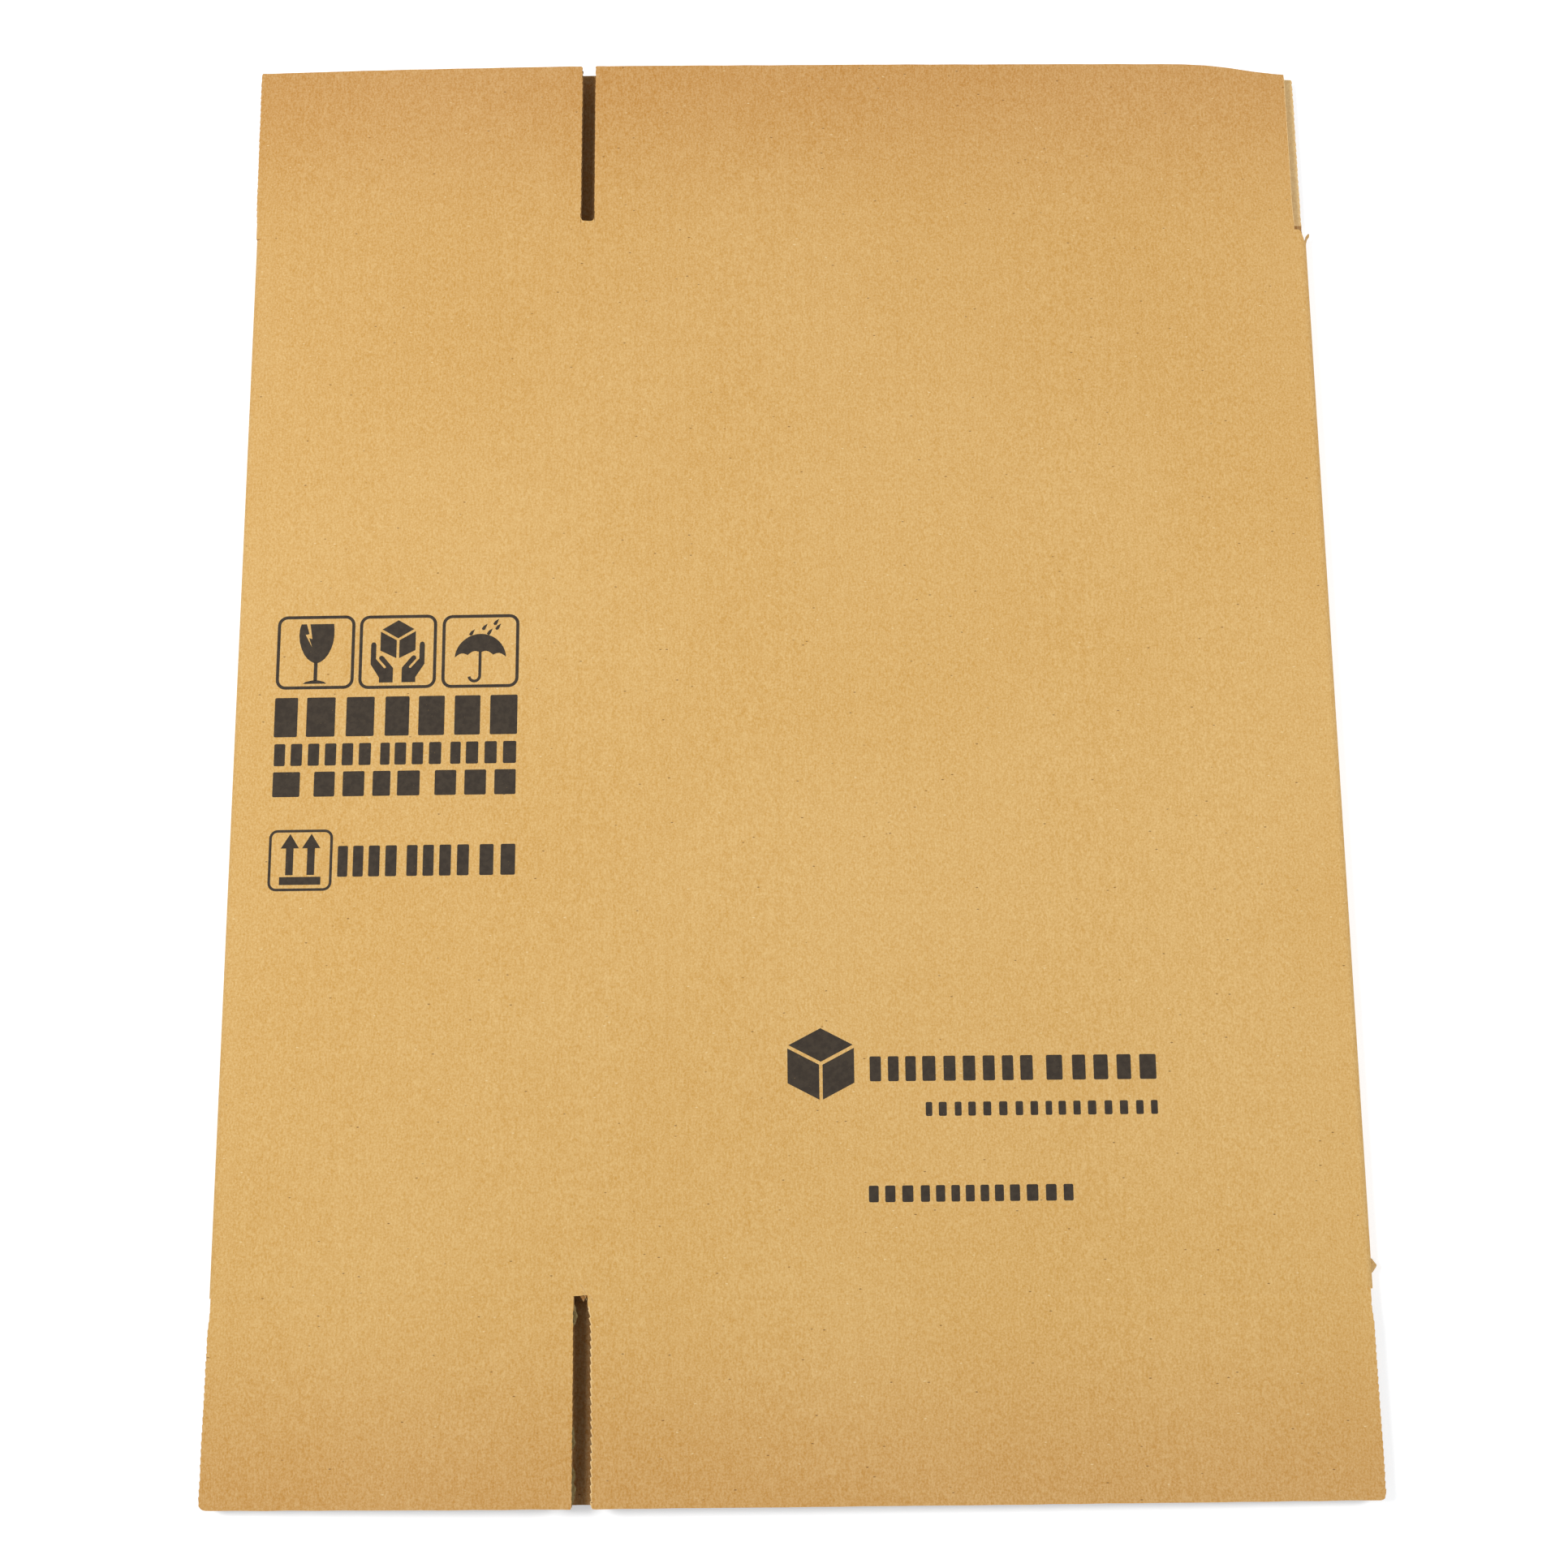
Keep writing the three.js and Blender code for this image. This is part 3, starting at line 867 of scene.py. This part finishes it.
def rounded_box(left, right, bottom, top, radius, steps=6):
    corners = []
    centres = ((right - radius, top - radius, 0), (left + radius, top - radius, 1),
               (left + radius, bottom + radius, 2), (right - radius, bottom + radius, 3))
    for x, y, quarter in centres:
        for k in range(steps + 1):
            angle = math.pi / 2 * (quarter + k / steps)
            corners.append((x + radius * math.cos(angle), y + radius * math.sin(angle)))
    return corners


def framed(ink, left, right, bottom, top, radius=3.6, line=1.15):
    """A pictogram's frame with round corners."""
    ink.ring(rounded_box(left, right, bottom, top, radius),
             rounded_box(left + line, right - line, bottom + line, top - line, radius - line))


def glass_mark():
    """A cracked stemmed glass in its frame. Sizes are in millimetres from the frame's middle."""
    ink = Print()
    x0, y0 = -169.9, 32.6
    framed(ink, x0 - 14.2, x0 + 14.2, y0 - 13.7, y0 + 13.7)
    right_side = [(6.4, 10.6), (6.6, 8.4), (6.6, 6.0), (6.3, 3.6), (5.6, 1.3), (4.6, -0.8),
                  (3.3, -2.5), (1.9, -3.6), (0.9, -3.95)]
    left_side = [(-0.4, -3.95), (-1.4, -3.5), (-2.9, -2.4), (-4.2, -0.7), (-5.2, 1.4), (-5.9, 3.8),
                 (-6.2, 6.4), (-6.0, 9.0), (-5.5, 10.6)]
    crack = [(-3.6, 10.6), (-2.5, 6.9), (-3.9, 6.6), (-1.3, 1.8), (-2.6, 5.4), (-1.4, 5.0),
             (-2.3, 10.6)]
    bowl = right_side + left_side + crack
    ink.polygon([(x0 + x, y0 + y) for x, y in bowl])
    ink.box(x0 - 0.45, x0 + 0.85, y0 - 10.6, y0 - 3.8)
    foot = [(-4.4, -11.7), (4.3, -11.7), (3.4, -11.0), (1.7, -10.5), (0.2, -10.3), (-1.4, -10.5),
            (-3.4, -11.0)]
    ink.polygon([(x0 + x, y0 + y) for x, y in foot])
    return ink.piece("glass_pictogram")


def hands_mark():
    """Two open hands under a cube, in their frame."""
    ink = Print()
    x0, y0 = -139.9, 32.4
    framed(ink, x0 - 14.1, x0 + 14.1, y0 - 13.7, y0 + 13.7)
    rhombus = [(0.0, 11.8), (5.8, 8.4), (0.0, 5.0), (-5.8, 8.4)]
    ink.polygon([(x0 + x, y0 + y) for x, y in rhombus])
    wall = [(6.4, 7.6), (0.5, 4.3), (0.5, -2.4), (6.4, 0.5)]
    hand = [(9.8, -4.6), (9.8, 2.7), (9.5, 3.4), (8.85, 3.7), (8.2, 3.4), (7.9, 2.7), (7.9, -2.6),
            (4.9, -6.0), (4.45, -6.1), (4.15, -5.8), (4.3, -5.4), (6.7, -2.7), (6.75, -2.0),
            (6.3, -1.5), (5.7, -1.4), (5.1, -1.8), (1.6, -6.0), (1.6, -11.4), (6.6, -11.4),
            (6.6, -9.6)]
    for side in (-1, 1):
        for shape in (wall, hand):
            ink.polygon([(x0 + side * x, y0 + y) for x, y in shape][::side])
    return ink.piece("hands_pictogram")


def umbrella_mark():
    """An umbrella in the rain, in its frame."""
    ink = Print()
    x0, y0 = -109.8, 32.2
    framed(ink, x0 - 14.0, x0 + 14.0, y0 - 13.6, y0 + 13.6)
    half, crown, hem = 9.3, 6.4, -2.3
    canopy = []
    arc_steps = 20
    for k in range(arc_steps + 1):
        angle = math.pi * k / arc_steps
        canopy.append((half * math.cos(angle), hem + (crown - hem) * math.sin(angle) ** 1.08))
    scallops, sag = 4, 1.7
    for scallop in range(scallops):
        start = -half + 2 * half * scallop / scallops
        for k in range(1, 6):
            share = k / 6
            x = start + 2 * half / scallops * share
            canopy.append((x, hem + math.sin(math.pi * share) + sag * (1 - abs(x) / half)))
        if scallop < scallops - 1:
            x = start + 2 * half / scallops
            canopy.append((x, hem + sag * (1 - abs(x) / half)))
    ink.polygon([(x0 + x, y0 + y) for x, y in canopy])
    shaft, foot, bend, line = -0.1, -9.2, 1.95, 1.05
    handle = [(shaft, hem + 2.0), (shaft, foot)]
    for angle in np.linspace(0.3, 3.0, 10):
        handle.append((shaft - bend + bend * math.cos(angle), foot - bend * math.sin(angle)))
    ink.stroke([(x0 + x, y0 + y) for x, y in handle], line)
    drop = [(-1.1, -0.6), (-0.65, -1.15), (0.05, -1.0), (0.45, -0.25), (1.0, 1.25), (-0.4, 0.45)]
    for x, y in ((-3.2, 6.9), (1.4, 8.9), (3.3, 7.1), (5.6, 10.7), (6.3, 8.9)):
        ink.polygon([(x0 + x + dx, y0 + y + dy) for dx, dy in drop])
    return ink.piece("umbrella_pictogram")


def arrows_mark():
    """Two arrows pointing up over a bar, in their frame."""
    ink = Print()
    x0, y0 = -172.6, -43.6
    framed(ink, x0 - 11.5, x0 + 11.4, y0 - 10.9, y0 + 11.1, radius=3.0, line=0.95)
    ink.box(x0 - 7.4, x0 + 7.4, y0 - 8.7, y0 - 5.85)
    arrow = [(-1.35, -5.2), (1.35, -5.2), (1.35, 4.4), (3.3, 4.4), (0, 9.6), (-3.3, 4.4),
             (-1.35, 4.4)]
    for middle in (-3.95, 3.7):
        ink.polygon([(x0 + middle + x, y0 + y) for x, y in arrow])
    return ink.piece("arrows_pictogram")


NARROW_PANEL_SHARE = 0.66


def block_row(ink, left, right, bottom, top, count, seed, share=0.72):
    """A row of plain upright blocks; share is how much of the row they fill."""
    chance = random.Random(seed)
    weights = [chance.uniform(0.85, 1.15) for _ in range(count)]
    pitch = (right - left) / (sum(weights) - weights[-1] * (1 - share))
    x = left
    for weight in weights:
        width = weight * pitch * share
        ink.polygon(rounded_box(x, x + width, bottom, top, min(0.5, width / 4), steps=3))
        x += weight * pitch


def block_rows():
    """Plain blocks on the narrow panel, below the handling marks and beside the arrows."""
    ink = Print()
    block_row(ink, -184.0, -96.0, 1.3, 15.8, 7, 1)
    for left, right, count in ((-183.6, -148.6, 6), (-145.2, -123.2, 4), (-119.9, -96.2, 4)):
        block_row(ink, left, right, -9.3, -1.2, count, count + 10, NARROW_PANEL_SHARE)
    for left, right, count in ((-183.7, -173.9, 1), (-168.8, -130.7, 4), (-125.3, -96.2, 3)):
        block_row(ink, left, right, -20.6, -11.5, count, count + 20)
    for left, right, count in ((-159.3, -138.2, 4), (-134.6, -112.4, 4), (-108.6, -95.9, 2)):
        block_row(ink, left, right, -49.6, -38.5, count, count + 30, NARROW_PANEL_SHARE)
    return ink.piece("narrow_panel_blocks")


def stamp_rows():
    """A plain parcel figure and three rows of blocks low on the wide panel."""
    ink = Print()
    x0, y0 = 11.6, -116.9
    lid = [(0, 12.4), (11.2, 6.6), (0, 0.8), (-11.2, 6.6)]
    wall = [(11.6, 5.5), (0.6, -0.2), (0.6, -12.2), (11.6, -6.5)]
    ink.polygon([(x0 + x, y0 + y) for x, y in lid])
    for side in (-1, 1):
        ink.polygon([(x0 + side * x, y0 + y) for x, y in wall][::side])
    block_row(ink, 28.6, 85.4, -123.0, -114.4, 9, 41, share=0.62)
    block_row(ink, 90.1, 128.4, -123.0, -114.4, 5, 42, share=0.62)
    block_row(ink, 47.8, 128.4, -135.0, -130.2, 16, 43, share=0.5)
    block_row(ink, 27.6, 98.0, -164.0, -158.4, 13, 44, share=0.6)
    return ink.piece("wide_panel_blocks")


# Torn paper: what the knife left at the slots' ends and the folds' corners

def torn_bit(name, corners, material=CUT, body="sleeve"):
    """A small torn scrap of liner, as a closed slab with the given corners on its upper face."""
    sheet = Sheet()
    count = len(corners)
    top = [tuple(c) for c in corners]
    under = [(x, y, z - LINER) for x, y, z in corners]
    sheet.points = top + under
    sheet.face(list(range(count)), 0)
    sheet.face([count + k for k in reversed(range(count))], 0)
    for k in range(count):
        after = (k + 1) % count
        sheet.face([k, after, count + after, count + k], 0)
    piece = piece_from(sheet.mesh(name), name, materials=(material,))
    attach(piece, body)
    return piece


# The ears' corners, in millimetres: X from the right fold's edge, Y and Z from the origin
EARS = {
    "top_fold_ear": [
        (-0.7, 189.3, 4.6), (-0.1, 189.2, 3.9), (0.5, 191.5, 3.6), (1.5, 192.8, 3.4),
        (1.7, 193.9, 3.4), (1.1, 194.1, 3.5), (0.1, 192.8, 3.8), (-0.5, 191.0, 4.4)],
    "bottom_fold_ear": [
        (-1.8, -183.8, 5.2), (0.2, -184.6, 4.4), (2.0, -186.8, 3.4),
        (1.7, -187.6, 3.3), (0.1, -189.2, 4.3), (-1.8, -190.0, 5.2)],
}

# The scrap's corners, in millimetres from the bottom slot's right edge, the origin and the ridge
SCRAP = [(-2.9, -193.8, -0.5), (-1.2, -193.4, -0.4), (0.3, -194.2, -0.5),
         (-0.9, -194.9, -0.9), (-1.5, -196.2, -1.5), (-2.1, -195.1, -1.1)]

# Each fray's two ends along Y and its width, in millimetres
FRAYS = {
    "slot_fray_high": (-197.2, -204.0, 1.5),
    "slot_fray_middle": (-237.0, -244.0, 1.4),
    "slot_fray_low": (-250.0, -261.8, 1.8),
}
FRAY_STEPS = 7
FRAY_OVERLAP = 0.4 * MM


def fray_corners(start, stop, width, seed):
    """A ragged strip of inner liner that stands out from the bottom slot's left edge."""
    edge = BOTTOM_SLOT[0] + 0.1 * MM
    level = RIDGE_TOP - BOARD + 0.9 * MM
    corners = [(edge - FRAY_OVERLAP, start, level), (edge - FRAY_OVERLAP, stop, level)]
    for k in range(FRAY_STEPS + 1):
        y = stop + (start - stop) * k / FRAY_STEPS
        ragged = 0.55 + 0.45 * wander(y * 3, seed)
        swell = math.sin(math.pi * (k + 0.6) / (FRAY_STEPS + 1.2))
        corners.append((edge + width * ragged * swell, y, level))
    return corners


def torn_bits():
    for name, corners in EARS.items():
        torn_bit(name, [(RIGHT + x * MM, y * MM, z * MM) for x, y, z in corners])
    for seed, (name, sizes) in enumerate(FRAYS.items()):
        start, stop, width = (size * MM for size in sizes)
        corners = fray_corners(start, stop, width, seed)
        torn_bit(name, corners, material=FRAY, body="bottom_upper_narrow_flap")
    scrap = [(BOTTOM_SLOT[1] + x * MM, y * MM, RIDGE_TOP + z * MM) for x, y, z in SCRAP]
    torn_bit("slot_end_scrap", scrap, material=CORE)


# The hairs' two ends in X and Y, in millimetres
HAIRS = ((-71.2, -190.2, -69.3, -193.4), (-68.8, -192.2, -66.6, -196.6), (-70.6, -192.6, -69.0, -195.4))
HAIR_STEPS = 6
HAIR_RADIUS = 0.045 * MM
HAIR_LIFT = 0.06 * MM
HAIR_BOW = 0.25


def hair(name, path):
    """A loose paper fibre lying on the board."""
    curve = bpy.data.curves.new(name, "CURVE")
    curve.dimensions = "3D"
    curve.bevel_depth = HAIR_RADIUS
    curve.bevel_resolution = 1
    spline = curve.splines.new("POLY")
    spline.points.add(len(path) - 1)
    for point, (x, y, z) in zip(spline.points, path):
        point.co = (x, y, z, 1)
    maker = bpy.data.objects.new(name + " maker", curve)
    bpy.context.scene.collection.objects.link(maker)
    bpy.context.view_layer.update()
    evaluated = maker.evaluated_get(bpy.context.evaluated_depsgraph_get())
    mesh = bpy.data.meshes.new_from_object(evaluated)
    bpy.data.objects.remove(maker)
    mesh.materials.clear()
    mesh.materials.append(FIBRE)
    mesh.name = name
    piece = bpy.data.objects.new(name, mesh)
    bpy.context.scene.collection.objects.link(piece)
    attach(piece, "sleeve")
    return piece


def hairs():
    """Pale fibres beside the bottom slot's end."""
    for k, (x0, y0, x1, y1) in enumerate(HAIRS):
        path = []
        for step in range(HAIR_STEPS + 1):
            share = step / HAIR_STEPS
            x = (x0 + (x1 - x0) * share + HAIR_BOW * math.sin(math.pi * share)) * MM
            y = (y0 + (y1 - y0) * share) * MM
            path.append((x, y, upper_face(x) + HAIR_LIFT))
        hair(f"loose_fibre_{k + 1}", path)


# Stage, lights and camera

PHOTO_SIDE = 1932
FOCAL_PIXELS = 2250
CAMERA_AT = (0.0, -0.13335, 0.65112)
CAMERA_TURNS = (10.197, 0.025, -0.530)
SENSOR_WIDTH = 36

FLOOR_SIDE = 8
FLOOR_DROP = 0.2 * MM
FLOOR_TONE = (0.88, 0.88, 0.88, 1)
SKY_TONE = (0.90, 0.95, 1.0, 1)
WHITE = (1, 1, 1, 1)

LAMP_SIZE = 0.5
LAMP_AIM = (0, -0.02, 0)
LAMPS = {"left lamp": ((-0.88, 0.17, 1.10), 11.5), "right lamp": ((1.05, 0.17, 1.05), 9.1)}


def floor():
    """A plain pale floor that is white where no shadow falls."""
    material = bpy.data.materials.new("pale floor")
    material.use_nodes = True
    n = Nodes(material.node_tree)
    shader = material.node_tree.nodes["Principled BSDF"]
    shader.inputs["Base Color"].default_value = FLOOR_TONE
    shader.inputs["Roughness"].default_value = 0.9
    shader.inputs["Specular IOR Level"].default_value = 0.1
    path = n.add("ShaderNodeLightPath").outputs
    seen = n.math("MAXIMUM", path["Is Camera Ray"], path["Is Glossy Ray"])
    seen = n.math("MAXIMUM", seen, path["Is Transmission Ray"])
    shader.inputs["Emission Color"].default_value = WHITE
    place = n.add("ShaderNodeTexCoord").outputs["Object"]
    away = n.add("ShaderNodeVectorMath", {0: place}, operation="LENGTH").outputs["Value"]
    glow = n.span(away, 0.25, 1.0, 0.40, 1.0)
    n.feed(shader.inputs["Emission Strength"], n.math("MULTIPLY", seen, glow))
    bpy.ops.mesh.primitive_plane_add(size=FLOOR_SIDE, location=(0, 0, -FLOOR_DROP))
    plane = bpy.context.object
    plane.name = "floor"
    plane.data.materials.append(material)


def world():
    scene_world = bpy.data.worlds.new("studio")
    bpy.context.scene.world = scene_world
    scene_world.use_nodes = True
    n = Nodes(scene_world.node_tree)
    background = scene_world.node_tree.nodes["Background"]
    seen = n.add("ShaderNodeLightPath").outputs["Is Camera Ray"]
    colour = n.tint(seen, SKY_TONE, WHITE)
    n.feed(background.inputs["Color"], colour)
    n.feed(background.inputs["Strength"], n.math("ADD", n.math("MULTIPLY", seen, 0.70), 0.30))


def soft_light(name, at, power):
    light = bpy.data.lights.new(name, "AREA")
    light.shape = "DISK"
    light.size = LAMP_SIZE
    light.energy = power
    lamp = bpy.data.objects.new(name, light)
    lamp.location = at
    lamp.rotation_euler = (Vector(LAMP_AIM) - Vector(at)).to_track_quat("-Z", "Y").to_euler()
    bpy.context.scene.collection.objects.link(lamp)


def camera():
    data = bpy.data.cameras.new("camera")
    data.sensor_width = SENSOR_WIDTH
    data.sensor_fit = "HORIZONTAL"
    data.lens = FOCAL_PIXELS / PHOTO_SIDE * data.sensor_width
    data.clip_start = 0.01
    eye = bpy.data.objects.new("camera", data)
    pitch, yaw, roll = (math.radians(a) for a in CAMERA_TURNS)
    turn = Matrix.Rotation(pitch, 4, "X") @ Matrix.Rotation(yaw, 4, "Y")
    turn = turn @ Matrix.Rotation(roll, 4, "Z")
    eye.matrix_world = Matrix.Translation(CAMERA_AT) @ turn
    bpy.context.scene.collection.objects.link(eye)
    bpy.context.scene.camera = eye


sleeve_piece()
for ends in ("top", "bottom"):
    for layer_panel in ("upper_narrow", "upper_wide", "lower_wide", "lower_narrow"):
        one_flap = Flap(f"{ends}_{layer_panel}_flap")
        flap_piece(one_flap)
        crease_piece(one_flap)
glass_mark()
hands_mark()
umbrella_mark()
arrows_mark()
block_rows()
stamp_rows()
torn_bits()
hairs()

floor()
world()
for lamp_name, (lamp_at, lamp_power) in LAMPS.items():
    soft_light(lamp_name, lamp_at, lamp_power)
camera()
bpy.context.scene.view_settings.view_transform = "Standard"
